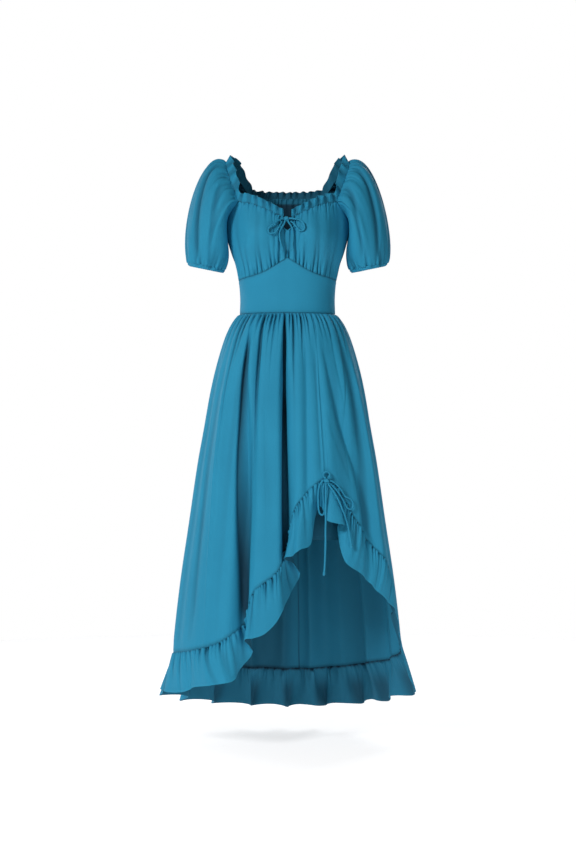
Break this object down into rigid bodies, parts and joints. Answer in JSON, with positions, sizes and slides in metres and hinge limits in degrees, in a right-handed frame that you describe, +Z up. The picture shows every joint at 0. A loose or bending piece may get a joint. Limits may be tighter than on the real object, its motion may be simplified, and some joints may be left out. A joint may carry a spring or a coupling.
{
  "type": "renaissance dress",
  "caption": "High-low puff-sleeve dress with a ruffled square neckline, gathered bust, fitted waist, draped skirt with a flounce, and drawstring bows.",
  "frame": {"origin": "midway between the wearer's shoulders, 23 mm below the highest point of the neckline seam, where the body holds the dress up", "axes": "+Z up, the front faces -Y, +X to the wearer's left"},
  "size_m": [0.6078, 0.4649, 1.3355],
  "materials": {
    "cloth": "soft low-sheen crepe",
    "lining": "plain smooth lining",
    "tie": "rolled cloth tie"
  },
  "bodies": {
    "root": {"bust_front": "cloth", "midriff_front": "cloth", "bodice_back": "cloth", "midriff_back": "cloth", "neck_ruffle_front_left": "cloth", "neck_ruffle_sleeve_left": "cloth", "neck_ruffle_front_right": "cloth", "neck_ruffle_sleeve_right": "cloth", "neck_ruffle_back": "cloth", "sleeve_left": "cloth", "sleeve_right": "cloth", "skirt_front_right": "cloth", "flounce_front_right": "cloth", "skirt_front_left": "cloth", "flounce_front_left": "cloth", "skirt_back": "cloth", "flounce_back": "cloth", "skirt_lining": "lining", "neck_tie_knot": "tie", "neck_tie_loop_right": "tie", "neck_tie_loop_left": "tie", "neck_tie_tail_right": "tie", "neck_tie_tail_left": "tie", "skirt_tie_knot": "tie", "skirt_tie_ring": "tie", "skirt_tie_loop_right": "tie", "skirt_tie_loop_left": "tie", "skirt_tie_tail_right": "tie", "skirt_tie_tail_left": "tie"}
  },
  "joints": []
}
